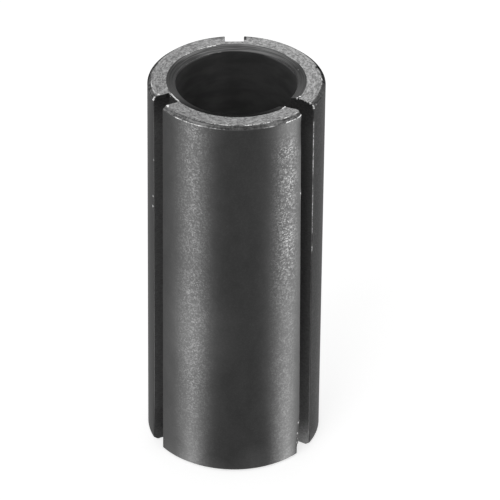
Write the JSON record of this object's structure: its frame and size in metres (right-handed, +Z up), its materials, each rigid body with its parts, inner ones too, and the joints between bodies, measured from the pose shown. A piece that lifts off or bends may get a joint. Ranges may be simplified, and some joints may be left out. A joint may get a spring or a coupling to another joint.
{
  "type": "router collet adapter",
  "caption": "Split steel reducing sleeve that lets a router collet grip a thinner cutter shank: a plain tube sawn through lengthways, with grooves that let it flex closed.",
  "frame": {"origin": "centre of the lower end face, on the axis of the bore", "axes": "+Z up the bore, -Y towards the cut that goes through the wall"},
  "size_m": [0.012, 0.012, 0.0282],
  "materials": {
    "black_oxide_steel": "satin black oxide over ground steel, rubbed grey on the end faces and bright along the edges"
  },
  "bodies": {
    "root": {"reducer_sleeve": "black_oxide_steel"}
  },
  "joints": []
}
